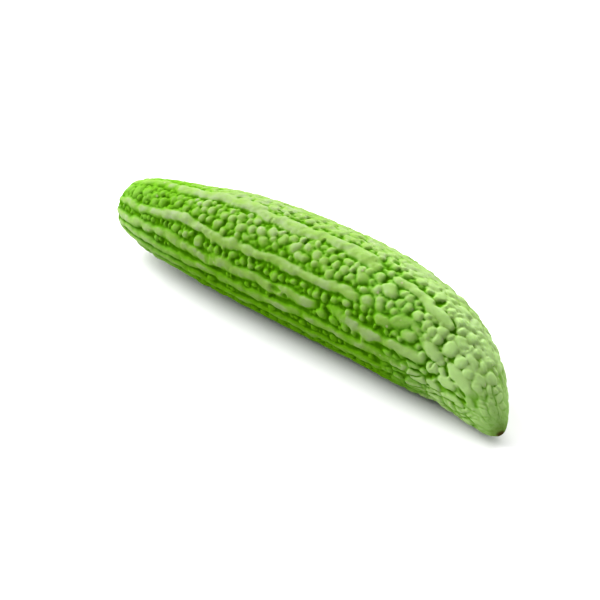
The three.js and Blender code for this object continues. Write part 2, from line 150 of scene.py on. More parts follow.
def curve_through(pairs):
    """A smooth curve through [x, y] pairs that never swings past them (a monotone cubic)."""
    xs, ys = np.array(pairs, float).T
    secants = np.diff(ys) / np.diff(xs)
    product = secants[:-1] * secants[1:]
    total = np.where(product > 0, secants[:-1] + secants[1:], 1)
    slopes = np.concatenate([secants[:1], np.where(product > 0, 2 * product / total, 0), secants[-1:]])

    def curve(x):
        x = np.asarray(x, float)
        i = np.clip(np.searchsorted(xs, x, side="left") - 1, 0, len(xs) - 2)
        span = xs[i + 1] - xs[i]
        u = np.clip((x - xs[i]) / span, 0, 1)
        rise = u * u * (3 - 2 * u)
        bulge = u * (1 - u) * span * ((1 - u) * slopes[i] - u * slopes[i + 1])
        return ys[i] * (1 - rise) + ys[i + 1] * rise + bulge

    return curve


def bend_angle(station):
    """The profile is drawn over this angle, which makes both ends round."""
    return np.arccos(np.clip(1 - 2 * np.asarray(station, float) / AXIS_LENGTH, -1, 1))


profile_curve = curve_through([[float(bend_angle(station)), radius] for station, radius in BODY_PROFILE])


def body_radius(station):
    return profile_curve(bend_angle(station))


def axis_at(share):
    """Points of the bent axis, for shares of its length from 0 to 1 (a Catmull-Rom curve)."""
    points = np.array(AXIS_POINTS, float)
    points = np.vstack([2 * points[0] - points[1], points, 2 * points[-1] - points[-2]])
    x = np.clip(share, 0, 1) * (len(AXIS_POINTS) - 1)
    i = np.clip(np.floor(x).astype(int), 0, len(AXIS_POINTS) - 2)
    t = (x - i)[..., None]
    before, start, end, after = points[i], points[i + 1], points[i + 2], points[i + 3]
    leave, arrive = (end - before) / 2, (after - start) / 2
    square = 3 * (end - start) - 2 * leave - arrive
    cube = 2 * (start - end) + leave + arrive
    return start + t * (leave + t * (square + t * cube))


def unit(vectors):
    return vectors / np.linalg.norm(vectors, axis=-1, keepdims=True)


def body_at(station, angle):
    """Places on the smooth body, with their normals and the directions onward and around."""
    station, angle = np.broadcast_arrays(np.asarray(station, float), np.asarray(angle, float))
    share = np.clip(station / AXIS_LENGTH, 0, 1)
    forward = unit(axis_at(share + 0.0001) - axis_at(share - 0.0001))
    up = unit(np.array([0, 0, 1.0]) - forward * forward[..., 2:])
    side = np.cross(forward, up)
    turn = np.radians(angle)[..., None]
    outward = up * np.cos(turn) + side * np.sin(turn)
    around = side * np.cos(turn) - up * np.sin(turn)
    position = axis_at(share) + outward * body_radius(station)[..., None]
    low, high = np.maximum(station - 0.02, 0), np.minimum(station + 0.02, AXIS_LENGTH)
    widening = ((body_radius(high) - body_radius(low)) / (high - low))[..., None]
    return {
        "station": station,
        "angle": angle,
        "position": position,
        "normal": unit(outward - forward * widening),
        "onward": unit(forward + outward * widening),
        "around": around,
        "axial_share": 1 / np.hypot(1, widening[..., 0]),
    }


def step_from(place, onward, around):
    """The station and angle reached by going so many millimetres onward and around."""
    station = place["station"] + onward * place["axial_share"]
    return station, place["angle"] + np.degrees(around / body_radius(place["station"]))


print("thickest radius without relief:", round(float(body_radius(np.arange(256)).max()), 2), "mm")

# %% [markdown]
# ## Where the ridges run
#
# No ridge is straight or even: each wanders a little and swells and thins along its way, which two slow
# sine waves per ridge imitate. Ridges narrow with the body towards both ends, and the whole relief sinks
# there.

# %% Ridges
RIDGE_HEIGHT = 2.8
RIDGES = [  # (half width in mm, course as [station, angle] pairs)
    (4.2, [[1, 6], [40, 6], [60, 7], [80, 9], [110, 13], [140, 11], [173, 12]]),
    (2.9, [[177, 13], [210, 12]]),
    (3.0, [[3, 56], [14, 55], [30, 54], [50, 51], [66, 52], [80, 57], [110, 57], [170, 52]]),
    (3.3, [[3, 80], [40, 78], [60, 80], [80, 83], [110, 83], [130, 81], [153, 78]]),
    (3.3, [[170, 78], [190, 76], [200, 73], [209, 69]]),
    (2.9, [[1, 102], [40, 98], [60, 99], [100, 100], [150, 97], [180, 95], [205, 94], [234, 88]]),
    (2.6, [[2, 119], [40, 114], [90, 117], [150, 116], [200, 112], [226, 107]]),
    (3.3, [[1, 138], [30, 134], [60, 137], [120, 141], [170, 139], [222, 134]]),
    (3.4, [[1, 168], [60, 168], [120, 170], [180, 170], [226, 167]]),
    (3.3, [[1, 194], [60, 192], [120, 192], [180, 193], [219, 192]]),
    (3.2, [[1, 222], [60, 220], [118, 224], [152, 222]]),
    (2.8, [[164, 221], [198, 224]]),
    (3.5, [[1, 254], [60, 259], [120, 264], [172, 261]]),
    (2.7, [[184, 262], [214, 266]]),
    (3.3, [[1, 292], [50, 300], [112, 297]]),
    (2.7, [[124, 299], [161, 303]]),
    (3.4, [[1, 332], [60, 336], [100, 332], [138, 330]]),
    (2.7, [[152, 333], [187, 329]]),
]
RIDGE_WANDER = [(58, 1.6), (21, 0.9)]  # wave length in mm, degrees to each side
RIDGE_SWELL = [(37, 0.12), (13, 0.08)]  # wave length in mm, share of the half width
RIDGE_END = 1.7  # length of a ridge's rounded end, in half widths
FULL_GIRTH = 19.0  # where the body is thinner than this, the ridges narrow with it
FADE_AT_STEM, FADE_AT_TIP = 0.7, 0.55  # share of the relief's height at the two ends


def smooth_step(value, over):
    x = np.clip(np.asarray(value, float) / over, 0, 1)
    return x * x * (3 - 2 * x)


def grow(least, distance, over):
    """Goes smoothly from the least share to 1 over a distance."""
    return least + (1 - least) * smooth_step(distance, over)


def fade(station):
    """How much of its full height the relief has at a station."""
    return grow(FADE_AT_STEM, station, 18) * grow(FADE_AT_TIP, AXIS_LENGTH - station, 34)


def waves(waves_and_sizes, station, phase):
    return sum(size * np.sin(2 * np.pi * station / wave + phase * wave) for wave, size in waves_and_sizes)


def girth_at(station):
    """How thick the body is there, as a share of its full girth and 1 at most."""
    return np.minimum(body_radius(station) / FULL_GIRTH, 1)


def wrapped(angle):
    """The same angle, from -180 to 180 degrees."""
    return np.mod(angle + 180, 360) - 180


def ridge_shape(index, station):
    """Heading in degrees, half width and height of a ridge, before its ends are rounded."""
    half_width, course = RIDGES[index]
    heading = curve_through(course)(station) + waves(RIDGE_WANDER, station, index + 1)
    girth = girth_at(station)
    half = half_width * girth * (1 + waves(RIDGE_SWELL, station, index))
    return heading, half, RIDGE_HEIGHT * np.sqrt(girth) * fade(station)


def ridge_ends(index):
    """The stations at which a ridge starts and stops."""
    course = RIDGES[index][1]
    return course[0][0], course[-1][0]


def into_end(index, station, half):
    """How far a ridge's rounded ends are entered: 0 where they begin, 1 where the ridge stops."""
    start, stop = ridge_ends(index)
    end = RIDGE_END * half
    return np.maximum(np.maximum(start + end - station, station - (stop - end)), 0) / end


def ridge_reach(index, place):
    """0 on the middle line of a ridge, 1 at its foot and beyond."""
    station = place["station"]
    heading, half, height = ridge_shape(index, station)
    start, stop = ridge_ends(index)
    half = np.maximum(half, 1e-6)  # the body has no width at its two ends
    across = np.radians(wrapped(place["angle"] - heading)) * body_radius(station) / half
    away = (station <= start) | (station >= stop) | (np.abs(across) >= 1)
    return np.where(away, 1, np.hypot(across, into_end(index, station, half)))


print(len(RIDGES), "ridges, at most", max(2 * half for half, _ in RIDGES), "mm wide")

# %% [markdown]
# ## Where the warts sit
#
# The warts that catch the eye are placed one by one, as [station, angle, length, width] with a turn in
# degrees where they lie askew. The rest follow a simple rule: try places at random from the largest size
# to the smallest, and keep each wart that still has room. That packs the grooves as tightly as growth
# does. The random numbers come from a small generator with a fixed seed, so the same fruit grows every
# time.

# %% Warts that stand out
WART_HEIGHT = 2.6
WART_STEEPNESS = 1.05  # height of a small wart for each millimetre of its half width
WARTS = [
    # between the two upper ridges
    [34, 31, 5, 4], [30.5, 36, 3.5, 3], [42, 37, 5.5, 5], [47, 29, 5, 4], [52, 33.5, 6, 3.6, -20],
    [59, 27, 5, 4, 35], [58, 37, 5, 4], [64.5, 26, 4, 4], [65, 37, 5, 5], [69.5, 32, 4, 3], [74, 31, 6, 5],
    [71, 42, 4.5, 3.4], [76, 41, 4, 3.4], [79, 27, 4, 3.4], [82.5, 32, 5, 5], [81.5, 43, 6, 5],
    [87.5, 32, 5, 4.6], [91.5, 27, 4, 3.5], [88.5, 41, 5, 4], [95, 38.5, 9, 4.2, -28], [100.5, 24.5, 5, 5],
    [100, 46, 6, 2.8], [106, 34, 7.4, 5.4], [103, 42, 4, 2.6], [109.5, 43, 8, 4.6, 10], [116, 27, 4, 3],
    [119.5, 33, 6, 6], [114.5, 37, 4, 2.8], [117, 42, 4, 4], [122.5, 46, 5, 2.4], [127.5, 36, 9, 5.6, -38],
    [134, 30.5, 5.6, 5], [133.5, 41, 10, 3.8], [137, 23.5, 5, 3, 40], [140.5, 33, 6, 5],
    [145, 22.5, 4.6, 3.4], [146, 36, 5, 5], [149, 29, 5, 4.2], [142, 42.5, 4, 3], [147.5, 42.5, 5, 3],
    [152.5, 34, 4.6, 4.2], [157.3, 35, 5, 4.8], [156.5, 25.5, 5.4, 3.4], [151.5, 23, 5, 2.6, 15],
    [161, 24, 2.8, 2.8], [164.3, 25.5, 3.6, 4.8, -25], [160.5, 30.5, 3, 3], [167.2, 32.5, 8, 6, -12],
    [162.3, 37.5, 3.8, 2.8], [168, 23, 4.6, 4.2], [172.8, 22.5, 5.6, 5.4], [176, 35, 5, 5.6],
    [181, 28, 11, 7], [171.3, 42, 4.2, 3], [175.5, 49.5, 9, 6], [180.7, 42, 4, 2.8], [182, 48, 6, 4, 30],
    [185.3, 40.5, 3.6, 3.6], [188.6, 42.5, 4, 3], [188.2, 32, 4.2, 3.4], [192, 30, 4.6, 3.4],
    [192, 36, 5, 2.2], [186.5, 57.5, 13, 5.8], [194, 47, 13.5, 6.6, -27], [176, 57.5, 4.2, 3.6],
    [172.3, 60, 4, 3], [180.5, 62.5, 4, 3], [167, 62.5, 6, 3.4], [197.7, 31.5, 6.4, 5.6],
    [203, 31.5, 2.8, 4.8], [206.3, 34, 4, 4.4], [210, 35, 4.8, 4.8], [209, 24, 5.8, 4],
    [216.7, 29.5, 7.2, 6.2], [223.7, 28, 5.6, 5.2, -12], [229, 28, 5.8, 5, -12], [201, 43.5, 4, 2.6],
    [206, 42, 4, 2.8], [200, 54.5, 9, 4.8, -12], [211.8, 49.5, 15, 5.6], [228, 45.5, 18, 6],
    [194, 61.5, 4, 2.4], [209.5, 64, 5, 4.6], [216.5, 67, 8, 6.4], [226, 66, 12, 6, -10],
    [239.5, 57, 8, 3.4], [235.5, 25, 6, 3.2],
    # along the top
    [216.5, 12, 7.6, 4.6], [225.5, 12, 8.4, 4], [196, -5, 6, 6], [209, -4, 4.6, 5], [216.5, -6, 6, 6],
    [222.5, -3, 4, 4], [227, -17, 4.6, 5], [234.5, -11, 5.6, 4.6], [240, -18, 5, 3.4], [229, -4, 6, 3.4],
    [203.5, -3, 3.8, 4.2], [180, 1, 5, 4], [186, -5, 5.6, 5], [163.5, -5, 5, 4.6], [173.5, 2, 4.4, 3.4],
    [155, -4, 5, 5],
    # the narrow row below the second ridge
    [72, 68, 3.2, 4.4], [75.6, 69, 2.4, 4.4], [79, 70, 2.8, 4], [86.5, 70.5, 4.2, 4.4],
    [96.5, 68, 7.4, 3, -22], [102.7, 70, 4.6, 4.4], [108, 71, 4, 3.4], [112.7, 69.5, 5, 2.8, -20],
    [118, 70, 5, 3], [127.5, 69, 4.4, 3], [135, 67, 6, 2.6, -15], [141, 65, 5.4, 3], [146, 69, 4.4, 3],
    [154.5, 68, 3.6, 5, -15], [162.5, 75, 14, 6], [61, 67, 3.8, 3.2], [175.5, 86.5, 3.4, 3],
    [180, 87.5, 4, 3], [193.5, 86.5, 6, 3.4, 10], [207, 81.5, 9, 2.6, -8],
    # the long plates that close in on the tip
    [233, 81, 13, 3.4, -6], [243, 84, 10, 2.8], [236, 97, 12, 3.2], [247, 68, 9, 2.6], [246, 40, 11, 2.8],
    [240, 113, 12, 3.2], [246, 12, 11, 3], [238, 134, 13, 3.4], [238, 190, 14, 3.6], [240, 250, 14, 3.4],
    [239, 304, 14, 3.6], [245, 340, 11, 3],
]
SMALL_WARTS = [
    [46, 62, 2, 3], [49, 64, 2, 3], [52.5, 64, 2, 3.5], [55, 66, 3, 2], [58, 63, 3, 3], [63, 62, 3, 2.5],
    [65.5, 67, 3, 2.5], [68, 64, 3, 3], [81, 73.5, 2.5, 2.5], [83, 64, 2.5, 3], [90, 65.5, 3, 2.5],
    [91, 72, 3, 3], [95, 73, 3, 2.5], [100, 73, 4, 3], [107, 66, 3, 3], [114, 66, 3, 2], [123, 67, 3, 2.5],
    [123, 72, 4, 2], [132, 69, 4, 2], [138, 70, 5, 2, -20], [149.5, 63.5, 3, 2], [150, 70, 5, 3],
    [153, 41, 3, 2], [156, 41.5, 3, 2], [161, 40.5, 3, 2], [170.5, 53, 3, 4], [186, 47, 2, 1.5],
    [163, 62, 2.5, 2], [221, 60, 5, 2.5],
]
print(len(WARTS), "large and", len(SMALL_WARTS), "small warts placed by hand")

# %% Warts that fill what room is left
FILL_SEED = 4217
FILL_HALF_SIZES = [3.5, 3, 2.6, 2.2, 1.9, 1.6]
FILL_TRIES = 9000
FILL_FROM, FILL_TO = 6, 250
BEAD_HALF_SIZES = [1.3, 1.05, 0.85]  # the smallest beads, which stay in the grooves
BEAD_TRIES = 9000
ROOM_REACH = 0.88  # how far into its neighbours' feet a wart may stand, 1 is not at all
RIM_SHARE, RIM_SPOTS = 0.85, 8  # where round its rim a trial wart is tested
WIDTH_VARIES, LENGTH_VARIES, MOST_TURN = 0.12, 0.55, 25  # how unlike each other they are: shares, degrees
LONG_FROM, LONG_OVER = 215, 25  # from this station warts grow longer and straighter, over so many mm
LONG_MORE, TURN_LESS = 1.9, 0.7  # by these shares


def random_numbers(seed, count):
    """Repeatable random numbers from 0 to 1 (the Park-Miller generator)."""
    numbers = np.empty(count)
    for i in range(count):
        seed = seed * 16807 % 2147483647
        numbers[i] = seed / 2147483647
    return numbers


def with_turns(warts):
    """Warts with a turn of 0 where none is given."""
    return [[*wart, 0][:5] for wart in warts]


def wart_frames(warts):
    """Middle, long and cross directions of warts on the body, with their half sizes."""
    station, angle, length, width, turn = np.asarray(warts, float).T
    place = body_at(station, angle)
    tilt = np.radians(turn)[:, None]
    along = place["onward"] * np.cos(tilt) + place["around"] * np.sin(tilt)
    cross = place["around"] * np.cos(tilt) - place["onward"] * np.sin(tilt)
    return place, along, cross, length / 2, width / 2


def wart_reach(positions, warts):
    """For each position and each wart, 0 on the wart's middle and 1 at its foot."""
    place, along, cross, half_length, half_width = wart_frames(warts)
    offset = positions[:, None] - place["position"][None]
    reach = np.hypot((offset * along).sum(-1) / half_length, (offset * cross).sum(-1) / half_width)
    return np.where((offset**2).sum(-1) >= np.maximum(half_length, half_width) ** 2, 1, reach)


def trial_spots(warts):
    """The middle of each trial wart and the spots round its rim, as places on the body."""
    station, angle, length, width, turn = warts.T
    place, tilt = body_at(station, angle), np.radians(turn)
    stations, angles = [station], [angle]
    for round_ in 2 * np.pi * np.arange(RIM_SPOTS) / RIM_SPOTS:
        long, cross = np.cos(round_) * RIM_SHARE * length / 2, np.sin(round_) * RIM_SHARE * width / 2
        onward = long * np.cos(tilt) - cross * np.sin(tilt)
        around = long * np.sin(tilt) + cross * np.cos(tilt)
        s, a = step_from(place, onward, around)
        stations.append(s)
        angles.append(a)
    return body_at(np.stack(stations, 1), np.stack(angles, 1))


def fill_warts(half_sizes, tries, numbers, taken):
    """Random warts of ever smaller sizes that stand clear of the ridges and of each other."""
    taken = list(taken)
    thickest = max(radius for _, radius in BODY_PROFILE)
    draws = numbers[: len(half_sizes) * tries * 6].reshape(len(half_sizes), tries, 6)
    for half, draw in zip(half_sizes, draws):
        station = FILL_FROM + (FILL_TO - FILL_FROM) * draw[:, 0]
        keep = draw[:, 2] * thickest < body_radius(station)
        width = 2 * half * (1 + WIDTH_VARIES * (2 * draw[:, 3] - 1))
        near_tip = smooth_step(station - LONG_FROM, LONG_OVER)
        length = width * (1 + LENGTH_VARIES * draw[:, 4] + LONG_MORE * near_tip)
        turn = MOST_TURN * (2 * draw[:, 5] - 1) * (1 - TURN_LESS * near_tip)
        trial = np.stack([station, 360 * draw[:, 1], length, width, turn], 1)[keep]
        spots = trial_spots(trial)
        clear = np.ones(len(trial), bool)
        for index in range(len(RIDGES)):
            clear &= (ridge_reach(index, spots) > ROOM_REACH).all(1)
        trial, positions = trial[clear], spots["position"][clear]
        clear = np.ones(len(trial), bool)
        for start in range(0, len(taken), 40):
            reach = wart_reach(positions.reshape(-1, 3), taken[start:start + 40])
            clear &= (reach > ROOM_REACH).all(1).reshape(-1, RIM_SPOTS + 1).all(1)
        added = []
        for wart, spot in zip(trial[clear], positions[clear]):
            if not added or (wart_reach(spot, added) > ROOM_REACH).all():
                added.append(wart)
        taken += added
    return taken


used = len(FILL_HALF_SIZES) * FILL_TRIES * 6  # each trial draws six numbers
numbers = random_numbers(FILL_SEED, used + len(BEAD_HALF_SIZES) * BEAD_TRIES * 6)
warts = fill_warts(FILL_HALF_SIZES, FILL_TRIES, numbers, with_turns(WARTS))
print(len(warts), "warts after filling the grooves")
warts = fill_warts(BEAD_HALF_SIZES, BEAD_TRIES, numbers[used:], warts + with_turns(SMALL_WARTS))
print(len(warts), "warts with the smallest beads")

# %% [markdown]
# ## Pits
#
# Here and there the skin has a small dark pit or a short cut between two swellings. They are placed like
# warts, and pressed in where warts are raised.

# %% Pits
PITS = [  # [station, angle, length, width, turn, depth]
    # on the top ridge
    [40, -2.5, 5, 1.6, 0, 0.8], [66.5, -1, 6, 1.6, 0, 0.9], [79.5, 0.5, 2.6, 2, 0, 0.7],
    [104.5, -0.5, 6, 1.9, 0, 1.1], [109.5, -5.5, 3.6, 3, 0, 1.3], [117, -1.5, 2.4, 3, 0, 1.0],
    [118.5, -9.5, 3.6, 2.6, 0, 1.1], [124, 1, 1.3, 3.6, 0, 1.0], [124.5, -6.5, 2, 1.8, 0, 0.8],
    [103, 16.5, 2.6, 2.2, 0, 0.8], [106.5, 20.5, 1.4, 5, 0, 1.0], [131, 25, 1.5, 4.4, 0, 1.1],
    [138, 16, 1.3, 3.6, 0, 1.0], [149.5, 1.5, 7, 2, 0, 1.3], [150, -13, 7, 1.8, 0, 1.1],
    # on the plates along the top, towards the tip
    [159.5, -3.5, 5, 1.6, 0, 1.0], [171, -6, 4.6, 3.6, 0, 1.4], [175.5, 0.5, 1.3, 3, 0, 0.9],
    [189, 3, 4, 3.2, 0, 1.3], [193.5, -0.5, 4, 3, 0, 1.3], [199, 1.5, 3.6, 7, 0, 1.6],
    [193, -15.5, 2.2, 2.2, 0, 0.9], [211, 7, 2, 7, 0, 1.2],
    # soft dimples on the ridges of the front
    [68, 50.5, 5, 3.6, 0, 0.7], [65, 75, 2.4, 3, 0, 0.7], [81, 84, 4.4, 4, 0, 0.7],
    [138.5, 52, 4, 1.5, 0, 0.8],
    [64, 110.5, 4, 4, 0, 1.0], [39, 112.5, 4, 2.2, 0, 0.9], [32.5, 105.5, 3, 3, 0, 0.8],
    # deep holes where ridges part
    [89.5, 90.5, 5, 2.8, 0, 1.4], [126, 81.5, 8, 3.2, 0, 1.5], [131.5, 84.5, 4, 2.8, 0, 1.3],
    [159, 78, 5, 4, 0, 1.6], [218.5, 76, 3.8, 3.4, 0, 1.5],
    # cracks between the plates of the lower front
    [193, 82, 5.6, 1.7, -20, 1.2], [198, 81, 6.2, 1.7, 10, 1.2], [203, 84, 6.2, 1.7, 12, 1.2],
    [210, 85, 8, 1.8, 0, 1.3], [205, 79, 8.6, 1.4, -12, 1.0], [230, 73, 6, 1.6, -9, 1.2],
    [236, 67, 7, 1.6, -13, 1.2], [233.5, 55, 6.6, 1.5, 10, 1.1], [228, 54.5, 4.4, 1.5, -20, 1.0],
    [222, 52, 7.4, 1.7, 40, 1.4], [215.5, 62.5, 1.5, 3.4, 0, 1.1], [223, 77, 4, 1.5, -14, 1.0],
    [218, 94, 3.4, 1.6, -40, 0.9], [202, 107, 4.4, 1.8, 50, 0.9], [194, 110, 4, 1.8, 55, 0.9],
    # the dimple round the stem scar
    [0, 0, 16, 16, 0, 1.3],
]
print(len(PITS), "pits")

# %% [markdown]
# ## Wiring node trees from Python
#
# Node trees can be clicked together by hand. In a script they are easier to read as sums, so one small
# class wraps an output socket and gives it Python's operators: `1 - mask` adds a Math node, and `place +
# push` adds a Vector Math node. Every other node comes from `Board.node`, which takes the node's type,
# its settings, and the values or wires for its sockets.

# %% Boards and wires
def operator(operation, swapped=False):
    """A method for one of Python's operators, which adds a maths node."""

    def apply(self, other):
        return self.maths(operation, *((other, self) if swapped else (self, other)))

    return apply


class Wire:
    """An output socket that can stand in a Python sum."""

    def __init__(self, board, socket):
        self.board, self.socket = board, socket

    def output(self, name):
        """Another output of the same node."""
        outputs = self.socket.node.outputs
        return Wire(self.board, next(s for s in outputs if s.enabled and s.name == name))

    def maths(self, operation, *values):
        if any(isinstance(v, Wire) and v.is_vector() for v in values):
            values = [v if isinstance(v, (Wire, tuple)) else (v, v, v) for v in values]
            return self.board.node("ShaderNodeVectorMath", {"operation": operation}, *values)
        return self.board.node("ShaderNodeMath", {"operation": operation}, *values)

    def is_vector(self):
        return self.socket.type in ("VECTOR", "RGBA")

    def ramp(self, low, high, start=0.0, end=1.0):
        """Goes smoothly from start to end while the value goes from low to high."""
        settings = {"interpolation_type": "SMOOTHSTEP"}
        return self.board.node("ShaderNodeMapRange", settings, self, low, high, start, end)

    def __mul__(self, other):
        if self.is_vector():
            return self.board.node("ShaderNodeVectorMath", {"operation": "SCALE"}, self, Scale=other)
        return self.maths("MULTIPLY", self, other)

    __rmul__ = __mul__
    __add__ = __radd__ = operator("ADD")
    __sub__, __rsub__ = operator("SUBTRACT"), operator("SUBTRACT", swapped=True)
    __truediv__, __rtruediv__ = operator("DIVIDE"), operator("DIVIDE", swapped=True)


class Board:
    """A node tree that is wired up from Python."""

    def __init__(self, tree):
        self.tree = tree

    def node(self, kind, settings=None, *in_order, **by_name):
        """Adds a node. Sockets are given in order, or by name with _ for a space."""
        node = self.tree.nodes.new(kind)
        for setting, value in (settings or {}).items():
            setattr(node, setting, value)
        sockets = [s for s in node.inputs if s.enabled]
        filled = list(zip(sockets, in_order))
        for name, value in by_name.items():
            filled.append((next(s for s in sockets if s.name == name.replace("_", " ")), value))
        for socket, value in filled:
            for wire in value if isinstance(value, list) else [value]:
                if isinstance(wire, Wire):
                    self.tree.links.new(wire.socket, socket)
                else:
                    socket.default_value = wire
        return Wire(self, next((s for s in node.outputs if s.enabled), None))

    def maths(self, operation, *values):
        return Wire(self, None).maths(operation, *values)


def attribute(board, name, kind="FLOAT"):
    return board.node("GeometryNodeInputNamedAttribute", {"data_type": kind}, name)


def noise_at(board, place, size, detail=2.0, rough=0.5):
    return board.node("ShaderNodeTexNoise", None, place, Scale=1 / size, Detail=detail, Roughness=rough)


def blend_colours(board, share, first, second):
    return board.node("ShaderNodeMix", {"data_type": "RGBA"}, share, first, second)


def new_material(name):
    """An empty material and the board to wire it on."""
    material = bpy.data.materials.new(name)
    material.use_nodes = True
    material.node_tree.nodes.clear()
    return material, Board(material.node_tree)


print("boards are ready")

# %% [markdown]
# ## Raw pieces for the nodes
#
# The nodes work from four plain objects: a fine smooth body, a point for every wart, a point for every
# pit, and a line for every ridge. Each carries its sizes as attributes, which the nodes read by name. The
# body's rings are spread evenly along its outline, and its columns stand closer on top than underneath.
#
# Warts press against each other, so each is made a little larger than its room: where two meet, they
# leave a narrow crease. Ridges are uneven too, so they get lumps of their own every few millimetres.
#
# The skin isn't equally rough everywhere. Small functions of station and angle say where it is calm,
# where it is cracked into plates, and how the relief dies away at the ends. Their values are stored on
# the body's points, so that one tree can treat every part of the fruit in its own way.

# %% Smooth body, wart points, pit points and ridge lines
RINGS, COLUMNS = 820, 420
TOP_FAVOUR = 0.2  # how much closer than the mean the columns stand on top
SPREAD, MOST_SPREAD = 0.8, 2.0  # how much wider than its room a wart is: a share of its width, and mm
CALM_SPREAD = -0.1  # how that most changes where the skin is calm, in mm
SIDE_LOSS = 0.5  # how much less of it there is in the narrow rows of the sides, as a share
SHALLOW, DEEP = 1.1, 0.7  # how high the grooves' floors lie on top and on the sides, in mm
CALM_LOSS = 0.15  # how much lower the relief is where the skin is calm, as a share
CALM_GROUND, PLATE_GROUND = 0.95, 0.35  # how much higher the grooves' floors are there, in mm
STEM_TAPER, TIP_TAPER = 16, 13  # how far from the ends the relief starts to die away, in mm
LEAST_RISE = 0.9  # what a wart of no width would rise, in mm
WART_RISE, BAR_RISE = 1.08, 0.97  # factors on the heights of warts and bars, right once all is blurred
WIDE_WART = 4  # from this width in mm, warts stand higher and spread less,
WIDE_RISE, WIDE_LOSS = 0.12, 0.25  # by so many mm for each mm more
LUMP_STEP, LUMP_SEED = 8.0, 909
LUMP_SHIFT, LUMP_SWAY, LUMP_TURN = 0.35, 0.22, 8  # shares of the step and of the half width, degrees
BAR_STEP = 1.2  # mm between the points of a ridge line
ZONES = {  # where each change in the skin starts, and over how many mm or degrees it takes place
    "plates onward": (180, 25), "plates downward": (78, 8), "plates end": (150, 20),
    "top starts": (-75, 30), "top ends": (6, 12), "sides start": (54, 8), "sides end": (300, 30),
    "calm tip": (208, 26), "calm stem": (0, 34), "seams at tip": (228, 16), "seams on top": (20, 30),
}
SCAR = {"radius": 3.4, "height": 2.2}  # the corky scar where the stem was, before the relief dies away there


def make_object(name, points, edges=(), faces=(), **attributes):
    """A mesh object from points in mm. Its attributes are numbers or vectors per point."""
    mesh = bpy.data.meshes.new(name)
    mesh.from_pydata((np.asarray(points) - BOX_MIDDLE) * MM, edges, faces)
    for key, values in attributes.items():
        values = np.asarray(values, np.float32)
        kind, slot = ("FLOAT_VECTOR", "vector") if values.ndim == 2 else ("FLOAT", "value")
        mesh.attributes.new(key, kind, "POINT").data.foreach_set(slot, values.ravel())
    return add_object(name, mesh)


def ring_stations(count):
    """Stations of rings that are evenly spaced along the body's outline."""
    station = AXIS_LENGTH * (1 - np.cos(np.pi * np.arange(4001) / 4000)) / 2
    run = np.hypot(np.diff(station), np.diff(body_radius(station)))
    length = np.concatenate([[0], np.cumsum(run)])
    return np.interp(length[-1] * np.arange(1, count + 1) / (count + 1), length, station)


def end_taper(station):
    """The share of the relief that is left near the two ends of the fruit."""
    return grow(0.6, station, STEM_TAPER) * grow(0.25, AXIS_LENGTH - station, TIP_TAPER)


def past(value, zone):
    """Goes smoothly from 0 to 1 where a zone starts."""
    start, over = ZONES[zone]
    return smooth_step(value - start, over)


def before(value, zone):
    """Goes smoothly from 1 to 0 where a zone ends."""
    end, over = ZONES[zone]
    return smooth_step(end - value, over)


def plates(station, angle):
    """1 on the lower front near the tip, where the skin is cracked into plates, 0 elsewhere."""
    return past(station, "plates onward") * past(angle, "plates downward") * before(angle, "plates end")


def along_top(angle):
    """1 on a broad band just behind the top, which is smoother than the rest, 0 elsewhere."""
    return past(angle, "top starts") * before(angle, "top ends")


def calmness(station, angle):
    """1 where the skin is made of flat plates, 0 where it is knobbly."""
    at_ends = np.maximum(past(station, "calm tip"), 1 - past(station, "calm stem"))
    return np.maximum(np.maximum(along_top(angle), at_ends), plates(station, angle))


def on_sides(angle):
    """1 on both sides and underneath, where the rows between the ridges are narrow, 0 on top."""
    angle = np.mod(angle, 360)
    return past(angle, "sides start") * before(angle, "sides end")


def make_smooth_body():
    share = np.arange(COLUMNS) / COLUMNS
    angles = np.degrees(2 * np.pi * share - TOP_FAVOUR * np.sin(2 * np.pi * share))
    rings = body_at(ring_stations(RINGS)[:, None], angles[None])
    ends = body_at(np.array([0, AXIS_LENGTH]), 0.0)
    points = np.vstack([rings["position"].reshape(-1, 3), ends["position"]])
    outward = np.vstack([rings["normal"].reshape(-1, 3), ends["normal"]])
    station = np.concatenate([rings["station"].ravel(), [0, AXIS_LENGTH]])
    taper = end_taper(station)
    room = fade(station) * np.sqrt(np.maximum(girth_at(station), 0.1))
    fullness = taper * room
    angle = wrapped(np.concatenate([rings["angle"].ravel(), [0, 0]]))
    calm = calmness(station, angle)
    fullness *= 1 - CALM_LOSS * calm
    ground = fullness * (SHALLOW + (DEEP - SHALLOW) * on_sides(angle))
    ground += fullness * (CALM_GROUND * calm + PLATE_GROUND * plates(station, angle))
    nearest = np.min([ridge_reach(index, rings) for index in range(len(RIDGES))], axis=0)
    ridged = np.append(1 - nearest.ravel() ** 2, [0, 0])
    seamed = np.maximum(plates(station, angle), 0.7 * past(station, "seams at tip"))
    seamed = np.maximum(seamed, 0.3 * along_top(angle) * past(station, "seams on top"))
    stem, tip, last = RINGS * COLUMNS, RINGS * COLUMNS + 1, (RINGS - 1) * COLUMNS
    column = np.arange(COLUMNS)
    beside = (column + 1) % COLUMNS
    row = (np.arange(RINGS - 1) * COLUMNS)[:, None]
    quads = np.stack([row + column, row + beside, row + beside + COLUMNS, row + column + COLUMNS], -1)
    faces = quads.reshape(-1, 4).tolist()
    pairs = list(zip(column.tolist(), beside.tolist()))
    faces += [[stem, b, a] for a, b in pairs]
    faces += [[tip, last + a, last + b] for a, b in pairs]
    return make_object("smooth_body", points, faces=faces, outward=outward,
                       fullness=fullness, room=room, taper=taper, calm=calm, ground=ground * MM,
                       seamed=seamed, ridged=ridged)


